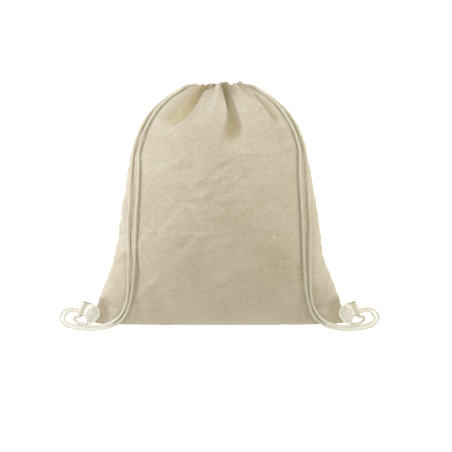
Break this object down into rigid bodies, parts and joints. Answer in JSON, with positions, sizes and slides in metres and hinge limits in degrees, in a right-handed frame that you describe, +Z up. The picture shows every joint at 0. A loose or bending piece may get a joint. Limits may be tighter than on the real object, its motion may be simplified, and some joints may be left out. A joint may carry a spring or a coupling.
{
  "type": "drawstring backpack",
  "caption": "Soft cotton drawstring backpack, filled out and lying on its back, with cord straps knotted through a tape loop at each bottom corner.",
  "frame": {"origin": "on the surface that the bag lies on, below the middle of the bag and its two tape loops, cords left out", "axes": "+X across the bag to the right as its front is seen, +Y from the bottom fold to the mouth, +Z up through the front"},
  "size_m": [0.4786, 0.3711, 0.1302],
  "materials": {
    "cotton_cloth": "undyed plain-weave cotton with slubs, matt, cream beige",
    "cotton_cord": "braided cotton cord, matt, pale cream",
    "cotton_tape": "ribbed cotton tape, matt, off-white"
  },
  "bodies": {
    "root": {"bag_body": "cotton_cloth", "tape_loop_left": "cotton_tape", "tape_loop_right": "cotton_tape", "cord_inner_left": "cotton_cord", "cord_outer_left": "cotton_cord", "cord_loop_left": "cotton_cord", "knot_left": "cotton_cord", "cord_inner_right": "cotton_cord", "cord_outer_right": "cotton_cord", "cord_loop_right": "cotton_cord", "knot_right": "cotton_cord"}
  },
  "joints": []
}
